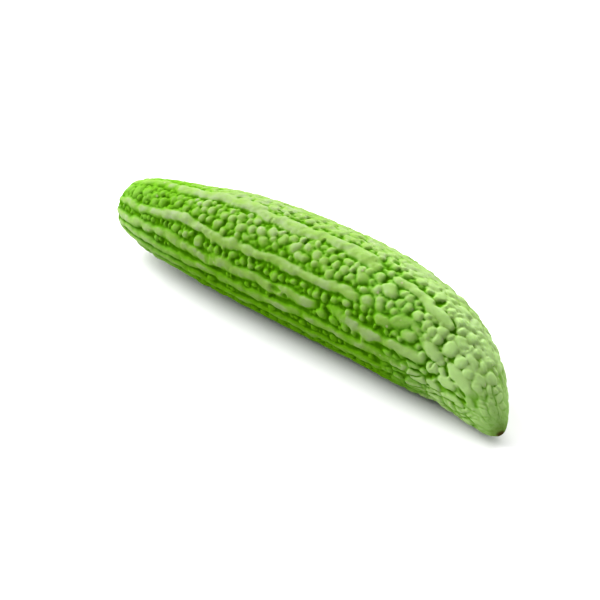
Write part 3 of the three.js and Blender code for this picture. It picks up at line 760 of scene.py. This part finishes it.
def make_places(name, places, heights):
    """A point for every wart or pit, with its half sizes in metres."""
    place, along, cross, half_length, half_width = wart_frames([p[:5] for p in places])
    sizes = np.stack([half_length, half_width, heights], 1) * MM
    return make_object(name, place["position"], outward=place["normal"], along=along, sizes=sizes)


def ridge_lumps(numbers):
    """Long low domes that follow the ridges unevenly, with their heights."""
    lumps, heights = [], []
    draws = iter(numbers.reshape(-1, 5))
    for index in range(len(RIDGES)):
        start, stop = ridge_ends(index)
        for station in np.arange(start + 3, stop - 3, LUMP_STEP):
            draw = 2 * next(draws) - 1
            station = station + LUMP_SHIFT * LUMP_STEP * draw[0]
            heading, half, height = ridge_shape(index, station)
            heading += np.degrees(LUMP_SWAY * half * draw[1] / body_radius(station))
            length, width = half * (5 + 1.4 * draw[2]), 2 * half * (0.98 + 0.12 * draw[3])
            lumps.append([station, heading, length, width, LUMP_TURN * draw[4]])
            heights.append(height * (1.04 + 0.06 * draw[2]))
    return np.array(lumps, float), np.array(heights)


def make_ridge_lines():
    """The middle lines of round bars, sunk until they stand as high and as wide as their ridges."""
    points, edges, thickness = [], [], []
    for index in range(len(RIDGES)):
        start, stop = ridge_ends(index)
        station = np.linspace(start, stop, int((stop - start) / BAR_STEP))
        heading, half, height = ridge_shape(index, station)
        height = height * BAR_RISE
        taper = np.sqrt(1 - np.minimum(into_end(index, station, half), 0.995) ** 2)
        radius = (half**2 + height**2) / (2 * height) * taper
        place = body_at(station, heading)
        middle = place["position"] - place["normal"] * (radius - height * taper)[:, None]
        edges += [[len(points) + i, len(points) + i + 1] for i in range(len(station) - 1)]
        points += middle.tolist()
        thickness += radius.tolist()
    return make_object("ridge_lines", points, edges=edges, thickness=np.array(thickness) * MM)


def raised_places():
    """All that stands up from the body: warts, lumps on the ridges and the scar, with their heights."""
    spread = np.array(warts, float)
    station, angle = spread[:, 0], spread[:, 1]
    narrowest = spread[:, 2:4].min(1)
    wider = np.maximum(narrowest - WIDE_WART, 0)
    rise = np.minimum(WART_HEIGHT, LEAST_RISE + WART_STEEPNESS * narrowest / 2) * WART_RISE
    rise += WIDE_RISE * wider
    calm = calmness(station, wrapped(angle))
    most = (MOST_SPREAD + CALM_SPREAD * calm) * (1 - SIDE_LOSS * on_sides(angle))
    most -= WIDE_LOSS * wider
    spread[:, 2:4] += (np.minimum(SPREAD * narrowest, most) * girth_at(station))[:, None]
    lumps, lump_heights = ridge_lumps(random_numbers(LUMP_SEED, 5000))
    scar = [[0, 0, 2 * SCAR["radius"], 2 * SCAR["radius"], 0]]
    heights = np.concatenate([rise * fade(station), lump_heights, [SCAR["height"]]])
    return np.vstack([spread, lumps, scar]), heights


smooth_body = make_smooth_body()
wart_points = make_places("wart_points", *raised_places())
pit_points = make_places("pit_points", PITS, [pit[5] for pit in PITS])
ridge_lines = make_ridge_lines()
print("smooth body:", len(smooth_body.data.vertices), "points")

# %% [markdown]
# ## One skin over everything
#
# The ridges and warts could be joined with Booleans, but hundreds of them are slow and leave ragged
# seams. A skin stretched over them is what the fruit has, so the nodes do the same:
#
# - a round bar follows every ridge line, and a small dome stands on every wart point,
# - from above every point of the smooth body a ray is cast down, and where it meets a bar or a dome, the
#   skin is lifted to it; a smooth noise shifts the rays a little, which makes the outlines uneven as
#   grown things are,
# - the ground between the warts is raised and cobbled by a cell pattern, so that no groove is bald,
# - the lift is levelled off at a gently uneven plateau, lower where the skin is calm, which gives wide
#   ridges and warts their flat tops, and narrow seams part the plates of the lower front and the tip,
# - pits are pressed in, and everything is blurred a little, so that creases are narrow valleys and not
#   cuts.
#
# The lift is kept as an attribute, because the colours follow it. Two more attributes are the lift less
# its average over a wide or a narrow neighbourhood. They tell crests from hollows, and find the thin
# creases, so that the skin's colour can paint a highlight on crests and shade in the creases.

# %% The skin tree
RELIEF = {  # the named values of the tree, with sizes in metres
    "Clearance": 6 * MM,
    "Unevenness": 2.7 * MM,
    "Uneven size": 5 * MM,
    "Plateau": 3.05 * MM,
    "Calm plateau": 2.5 * MM,
    "Plateau edge": 1.6 * MM,
    "Groove edge": 0.5 * MM,
    "Cobble size": 2.4 * MM,
    "Cobble foot": 0.4,
    "Cobble rise": 1.5,
    "Plate size": 3.3 * MM,
    "Seam depth": 0.4,
    "Pit depth": 0.6,
    "Undulation": 0.9 * MM,
    "Undulation size": 9 * MM,
    "Dents": 0.22,
    "Dent size": 7 * MM,
    "Softness": 2,
    "Seed": 11,
}
COBBLE_STRETCH, PLATE_STRETCH = (0.6, 1.0, 1.0), (0.38, 1.0, 1.0)  # they lengthen a cell pattern along X


def dome(board):
    """A ball with 96 faces, rounded once."""
    ball = board.node("GeometryNodeMeshUVSphere", None, 12, 8, 1.0)
    return board.node("GeometryNodeSubdivisionSurface", None, ball, 1)


def lift_over(board, bumps, source, outward, clearance):
    """How far above the smooth body the first of the bumps is met; 0 where there is none."""
    start = source + outward * clearance
    ray = board.node("GeometryNodeRaycast", None, Target_Geometry=bumps, Source_Position=start,
                     Ray_Direction=outward * -1, Ray_Length=clearance)
    hit, distance = ray.output("Is Hit"), ray.output("Hit Distance")
    return board.node("GeometryNodeSwitch", {"input_type": "FLOAT"}, hit, 0.0, clearance - distance)


def domes_on(board, things):
    """A dome on every point of an object, turned and sized by the point's attributes."""
    points = board.node("GeometryNodeObjectInfo", None, things).output("Geometry")
    outward, along, sizes = (attribute(board, name, "FLOAT_VECTOR") for name in ("outward", "along", "sizes"))
    axes = {"primary_axis": "Z", "secondary_axis": "X"}
    turned = board.node("FunctionNodeAxesToRotation", axes, outward, along)
    spread = board.node("GeometryNodeInstanceOnPoints", None, Points=points, Instance=dome(board),
                        Rotation=turned, Scale=sizes)
    return board.node("GeometryNodeRealizeInstances", None, spread)


def bars_along(board, lines):
    """A round bar along every line of an object, as thick as its points say."""
    edges = board.node("GeometryNodeObjectInfo", None, lines).output("Geometry")
    curves = board.node("GeometryNodeMeshToCurve", None, edges)
    ring = board.node("GeometryNodeCurvePrimitiveCircle", None, Resolution=32, Radius=1.0)
    return board.node("GeometryNodeCurveToMesh", None, curves, ring, attribute(board, "thickness"), True)


def make_skin_tree():
    tree = bpy.data.node_groups.new("gourd_skin", "GeometryNodeTree")
    board = Board(tree)

    def add_input(name, kind):
        return tree.interface.new_socket(name, in_out="INPUT", socket_type="NodeSocket" + kind)

    add_input("Body", "Geometry")
    for name in ("Warts", "Pits", "Ridges"):
        add_input(name, "Object")
    for name, value in RELIEF.items():
        add_input(name, "Int" if isinstance(value, int) else "Float").default_value = value
    add_input("Material", "Material")
    tree.interface.new_socket("Skin", in_out="OUTPUT", socket_type="NodeSocketGeometry")
    given = board.node("NodeGroupInput").output
    place = board.node("GeometryNodeInputPosition")
    outward = attribute(board, "outward", "FLOAT_VECTOR")
    calm, room = attribute(board, "calm"), attribute(board, "room")

    # bumps, met from places that a noise pushes about a little
    raised = [domes_on(board, given("Warts")), bars_along(board, given("Ridges"))]
    bumps = board.node("GeometryNodeJoinGeometry", None, raised)
    noise = board.node("ShaderNodeTexNoise", {"noise_dimensions": "4D"}, place, given("Seed"),
                       1 / given("Uneven size"), Detail=2.5)
    source = place + (noise.output("Color") - 0.5) * given("Unevenness")
    dents = noise_at(board, place, given("Dent size"), 1.0)
    rise = lift_over(board, bumps, source, outward, given("Clearance")) * (1 + (dents - 0.5) * given("Dents"))

    # cobbled ground below them, and a plateau above
    stretched = board.maths("MULTIPLY", source, COBBLE_STRETCH)
    cells = board.node("ShaderNodeTexVoronoi", None, stretched, 1 / given("Cobble size"))
    cobble = board.maths("MAXIMUM", 1 - cells * cells * 2.0, 0.0)
    foot, top = given("Cobble foot") + calm * 0.45, given("Cobble rise") * (1 - calm * 0.75)
    ground = attribute(board, "ground") * (foot + cobble * top)
    swell = noise_at(board, place, given("Undulation size"), 1.5)
    level = board.node("ShaderNodeMapRange", None, calm, 0.0, 1.0, given("Plateau"), given("Calm plateau"))
    plateau = (level + (swell - 0.5) * given("Undulation")) * room
    filled = board.maths("SMOOTH_MAX", rise, ground, given("Groove edge"))
    filled = board.maths("SMOOTH_MIN", filled, plateau, given("Plateau edge") * room)

    # seams and pits
    slender = board.maths("MULTIPLY", source, PLATE_STRETCH)
    to_edge = {"feature": "DISTANCE_TO_EDGE"}
    seams = board.node("ShaderNodeTexVoronoi", to_edge, slender, 1 / given("Plate size"))
    seam = seams.ramp(0.03, 0.18, 1.0, 0.0)
    filled = filled * (1 - seam * attribute(board, "seamed") * given("Seam depth"))
    pits = domes_on(board, given("Pits"))
    sunk = lift_over(board, pits, source, outward, given("Clearance")) * given("Pit depth")
    lift = (filled - sunk) * attribute(board, "taper")

    # the lift is kept as attributes, and the skin moves by it
    def blurred(value, times, weight):
        return board.node("GeometryNodeBlurAttribute", {"data_type": "FLOAT"}, value, times, weight)

    def store(geometry, name, value):
        return board.node("GeometryNodeStoreNamedAttribute", {"data_type": "FLOAT", "domain": "POINT"},
                          geometry, Name=name, Value=value)

    skin = store(given("Body"), "lift", blurred(lift, given("Softness"), 0.5))
    lift = attribute(board, "lift")
    # crest and crease steer the painted highlight on crests and the painted shade in creases
    for name, reach in (("crest", 34), ("crease", 5)):
        skin = store(skin, name, lift - blurred(lift, reach, 1.0))
    grounded = board.maths("MAXIMUM", place + outward * lift, (-1.0, -1.0, 0.0))
    skin = board.node("GeometryNodeSetPosition", None, skin, Position=grounded)
    skin = board.node("GeometryNodeSetShadeSmooth", None, skin, Shade_Smooth=True)
    skin = board.node("GeometryNodeRealizeInstances", None, skin)
    skin = board.node("GeometryNodeSetMaterial", None, skin, Material=given("Material"))
    board.node("NodeGroupOutput", None, skin)
    return tree


skin_tree = make_skin_tree()
print("the skin tree has", len(skin_tree.nodes), "nodes")

# %% [markdown]
# ## The waxy green skin
#
# The skin is a deep, clear green under a thin layer of wax. Crests look paler and grooves a darker, purer
# green: partly the skin's own tone, and partly painted light, with a painted highlight and whitish sheen on
# crests, on the top and near the stem, and painted shade in the grooves. So the colour follows three
# attributes: `lift` says how high a place is, `crest` whether it stands above its neighbours, and `crease`
# where a thin line runs, which is painted dark as shade. Two slower ones help: `ridged` makes the ridges a
# little paler than the warts, and `calm` finds the plates. Noise on Object coordinates breaks all this up,
# and a few crests carry small straw-coloured flecks. The tip ends in a brown spot; the stem end has a corky
# scar with pale rays round it.

# %% The skin material
# DEEP_GREEN fills the grooves, partly as painted shade; the paler greens on crests and on top are partly a
# painted highlight
DEEP_GREEN = (0.031, 0.116, 0.0002, 1)
MIDDLE_GREEN = (0.066, 0.190, 0.0020, 1)
PALE_GREEN = (0.110, 0.202, 0.0250, 1)
# a painted whitish sheen
SHEEN_WHITE = (0.188, 0.218, 0.1360, 1)
STRAW = (0.330, 0.290, 0.1900, 1)
TIP_PALE = (0.248, 0.385, 0.1280, 1)
TIP_GREEN = (0.070, 0.135, 0.0100, 1)
TIP_BROWN = (0.036, 0.026, 0.0050, 1)
CORK = (0.110, 0.100, 0.0400, 1)
SKIN_CONSTANTS = {
    "Subsurface Weight": 0.2,
    "Subsurface Radius": (0.6, 1.0, 0.2),
    "Subsurface Scale": 1.5 * MM,
    "Specular IOR Level": 0.0,  # the coat alone shines
    "Coat Roughness": 0.3,
}
STREAK_STRETCH = (0.16, 1.0, 1.0)  # it lengthens the streaks along X
RAYS = 13  # round the stem scar


def make_skin_material():
    material, board = new_material("waxy_green_skin")
    place = board.node("ShaderNodeTexCoord").output("Object")
    lift, crest, crease, fullness, calm, ridged = (
        board.node("ShaderNodeAttribute", {"attribute_name": name}).output("Fac")
        for name in ("lift", "crest", "crease", "fullness", "calm", "ridged"))
    broad, patches = noise_at(board, place, 30 * MM), noise_at(board, place, 7 * MM, 3.0)
    grain = noise_at(board, place, 0.9 * MM, 3.0, 0.6)
    uneven, grainy = patches - 0.5, grain - 0.5

    def distance_from(spot):
        return board.node("ShaderNodeVectorMath", {"operation": "DISTANCE"}, place, spot).output("Value")

    # where on the fruit a place lies
    along = board.node("ShaderNodeSeparateXYZ", None, place)
    upward = along.output("Z")
    above, highest = upward.ramp(8 * MM, 50 * MM), upward.ramp(36 * MM, 50 * MM)
    tipward, farther = along.ramp(60 * MM, 104 * MM), along.ramp(15 * MM, 75 * MM)
    stemward = along.ramp(-50 * MM, -100 * MM)
    # near the stem the painted sheen is evened out between top and side, and below adds some to the lower
    # side
    below, above = (1 - above) * stemward, above + (0.5 - above) * stemward
    tip = distance_from(TIP_PLACE) + uneven * (2 * MM)
    stem = distance_from(STEM_PLACE) + uneven * (2.4 * MM) + grainy * (1.2 * MM)
    end = tip.ramp(15 * MM, 6 * MM)

    # how high it stands there, and whether it is a peak or a crease
    height = (lift / fullness + uneven * (0.7 * MM)).ramp(0.9 * MM, 3.0 * MM)
    height = height + (0.7 - height) * end
    peak = (crest / fullness + uneven * (0.4 * MM)).ramp(-0.7 * MM, 0.6 * MM)
    # thin creases, which the colours paint darker as shade
    line = (crease / fullness).ramp(-0.04 * MM, -0.26 * MM) * (1 - end * 0.7)

    colour = DEEP_GREEN

    def cover(share, new_colour):
        nonlocal colour
        colour = blend_colours(board, share, colour, new_colour)

    # green, paler on crests and on top, partly by its own tone and partly as a painted highlight and sheen
    cover((height * 0.5 + peak * 0.5 + tipward * 0.35 - line * 0.3).ramp(0.1, 0.62), MIDDLE_GREEN)
    # this mask paints crests, ridges and the top paler as a painted highlight and sheen, and crease lines
    # darker as painted shade; it also sets the wax's gloss
    wax_and_sheen = (peak * 0.25 + height * 0.75 + (broad - 0.5) * 0.5 + grainy * 0.14 + (above - 0.53) * 0.8
           + tipward * (0.4 + above * 0.25) - stemward * 0.1 + calm * above * 0.25
           + (ridged - 0.4 * (1 - tipward)) * 0.35 - line * 0.3).ramp(0.5, 1.1)
    cover(wax_and_sheen, PALE_GREEN)
    # a painted whitish sheen in patches, strongest on the top and at the stem end
    patchy_sheen = (wax_and_sheen * 0.65 + uneven + (broad - 0.5) * 0.8).ramp(0.45, 1.0)
    cover(patchy_sheen * (0.3 + above * 0.3 + stemward * 0.3), SHEEN_WHITE)
    # paler towards the tip, plus a painted sheen on the top and on the lower side near the stem; crease lines
    # are left out
    pale = (tipward * 0.85 + above * 0.08 + highest * farther * 0.3 + below * 0.4) * height * (1 - line)
    cover(pale, TIP_PALE)

    # darker streaks at the tip, painted shade of fine grooves between the plates, and flecks on the peaks
    streaks = noise_at(board, board.maths("MULTIPLY", place, STREAK_STRETCH), 1.1 * MM, 1.0)
    cover(streaks.ramp(0.5, 0.66) * end * 0.4, MIDDLE_GREEN)
    flecks = board.node("ShaderNodeTexVoronoi", None, place, Scale=1 / (6 * MM))
    chance = board.node("ShaderNodeSeparateColor", None, flecks.output("Color")).output("Red")
    cover(flecks.output("Distance").ramp(0.14, 0.05) * chance.ramp(0.62, 0.7) * peak * 0.6, STRAW)

    # the brown tip, and the scar where the stem was, with pale rays round it
    cover(tip.ramp(6.5 * MM, 3.0 * MM, 0.0, 0.65), TIP_GREEN)
    cover(tip.ramp(2.9 * MM, 1.2 * MM), TIP_BROWN)
    beside = board.node("ShaderNodeSeparateXYZ", None, place - STEM_PLACE)
    turn = board.maths("ARCTAN2", beside.output("Z"), beside.output("Y"))
    rays = board.maths("SINE", turn * RAYS + uneven * 26) * 0.5 + 0.5
    cover((0.25 + rays * 0.3) * stem.ramp(15 * MM, 6 * MM), PALE_GREEN)
    cover(stem.ramp(5.2 * MM, 3.6 * MM, 0.0, 0.8), TIP_BROWN)
    cover(stem.ramp(3.4 * MM, 2.6 * MM), blend_colours(board, grain, CORK, TIP_BROWN))

    pores = board.node("ShaderNodeTexVoronoi", None, place, Scale=1 / (0.7 * MM))
    relief = patches * 0.5 + grain * 0.12 + pores.ramp(0.0, 0.35) * 0.06
    bump = board.node("ShaderNodeBump", None, 0.55, 0.5 * MM, Height=relief)
    shader = board.node("ShaderNodeBsdfPrincipled", None, colour,
                        Roughness=0.5 - wax_and_sheen * 0.1 + grainy * 0.1, Coat_Weight=wax_and_sheen * 0.1, Normal=bump)
    for name, value in SKIN_CONSTANTS.items():
        shader.socket.node.inputs[name].default_value = value
    board.node("ShaderNodeOutputMaterial", None, shader)
    return material


TIP_PLACE = tuple((axis_at(np.array([1.0]))[0] - BOX_MIDDLE) * MM)
STEM_PLACE = tuple((axis_at(np.array([0.0]))[0] - BOX_MIDDLE) * MM)
skin_material = make_skin_material()
print("skin material has", len(skin_material.node_tree.nodes), "nodes")

# %% [markdown]
# ## Growing the fruit
#
# The tree is put on the smooth body as a modifier. Then a Decimate modifier keeps triangles where the
# skin bends and saves them where it is flat. The result is kept as a plain mesh, and the raw pieces are
# deleted.

# %% The finished skin
MOST_TRIANGLES = 198000


def grow_skin():
    wrap = smooth_body.modifiers.new("wrap", "NODES")
    wrap.node_group = skin_tree
    given = {"Warts": wart_points, "Pits": pit_points, "Ridges": ridge_lines, "Material": skin_material}
    for item in skin_tree.interface.items_tree:
        if item.in_out == "INPUT" and item.name in given:
            wrap[item.identifier] = given[item.name]
    triangles = 2 * RINGS * COLUMNS
    thin = smooth_body.modifiers.new("thin", "DECIMATE")
    thin.ratio = min(1, MOST_TRIANGLES / triangles)
    depsgraph = bpy.context.evaluated_depsgraph_get()
    mesh = bpy.data.meshes.new_from_object(
        smooth_body.evaluated_get(depsgraph), preserve_all_data_layers=True, depsgraph=depsgraph)
    mesh.name = "bitter_gourd_skin"
    for thing in (smooth_body, wart_points, pit_points, ridge_lines):
        bpy.data.objects.remove(thing)
    return add_object(mesh.name, mesh)


gourd = grow_skin()
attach(gourd, "root")
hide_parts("gourd")
gourd_mesh = gourd.data
gourd_mesh.calc_loop_triangles()
print("skin:", len(gourd_mesh.loop_triangles), "triangles,", [a.name for a in gourd_mesh.attributes])

# %% [markdown]
# ## Floor and light
#
# A plain white floor, two wide soft lamps and an even, weaker white sky give the look of a small studio.
# The lamps are of the sun kind with a very wide disc, which lights the whole floor evenly and casts soft
# shadows. One stands behind the fruit, so that the top is bright and a soft shadow falls towards the
# viewer. The other stands at the stem's side and lights the front from the left.

# %% Floor, light and sky
FLOOR_WHITE, FLOOR_DUST = (0.60, 0.60, 0.60, 1), (0.58, 0.58, 0.58, 1)
FLOOR_REACH = 3  # from its middle to each side, in metres
SKY_STRENGTH = 0.64
LAMPS = [  # [where the light comes from, its strength]
    [(-0.41, 0.71, 0.57), 5.9],  # from behind, over the fruit
    [(-0.72, -0.26, 0.64), 8.0],  # from the stem's side
]
LAMP_WIDTH = 50.0  # degrees


def make_floor():
    corners = np.array([[-1, -1, 0], [1, -1, 0], [1, 1, 0], [-1, 1, 0]]) * FLOOR_REACH
    floor = make_object("floor", corners / MM, faces=[(0, 1, 2, 3)])
    material, board = new_material("white_floor")
    place = board.node("ShaderNodeTexCoord").output("Object")
    colour = blend_colours(board, noise_at(board, place, 0.05) * 0.1, FLOOR_WHITE, FLOOR_DUST)
    shader = board.node("ShaderNodeBsdfPrincipled", None, colour, Roughness=0.9)
    board.node("ShaderNodeOutputMaterial", None, shader)
    floor.data.materials.append(material)
    floor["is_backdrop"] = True
    return floor


def make_lamps():
    lamps = []
    for number, (place, strength) in enumerate(LAMPS):
        light = bpy.data.lights.new(f"soft_light_{number}", "SUN")
        light.energy = strength
        light.angle = math.radians(LAMP_WIDTH)
        lamp = add_object(light.name, light)
        lamp.location = place
        lamp.rotation_euler = (-Vector(place)).to_track_quat("-Z", "Y").to_euler()
        lamps.append(lamp)
    return lamps


def make_sky():
    sky = bpy.data.worlds.new("white_sky")
    sky.use_nodes = True
    background = sky.node_tree.nodes["Background"].inputs
    background["Color"].default_value = (1, 1, 1, 1)
    background["Strength"].default_value = SKY_STRENGTH
    bpy.context.scene.world = sky
    return sky


floor, lamps, sky = make_floor(), make_lamps(), make_sky()
bpy.context.scene.view_settings.view_transform = "Standard"
print(len(lamps), "soft lamps,", LAMP_WIDTH, "degrees wide, over a pale floor")

# %% [markdown]
# ## Sizes and the last line
#
# The box of the finished skin is written beside the CAD box.

# %% Compare the boxes and finish
visual_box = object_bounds()
boxes = {"cad": [list(c) for c in cad_box], "visual": [list(c) for c in visual_box]}
for name, box in boxes.items():
    print(name, "box in mm:", [[round(v / MM, 2) for v in corner] for corner in box])
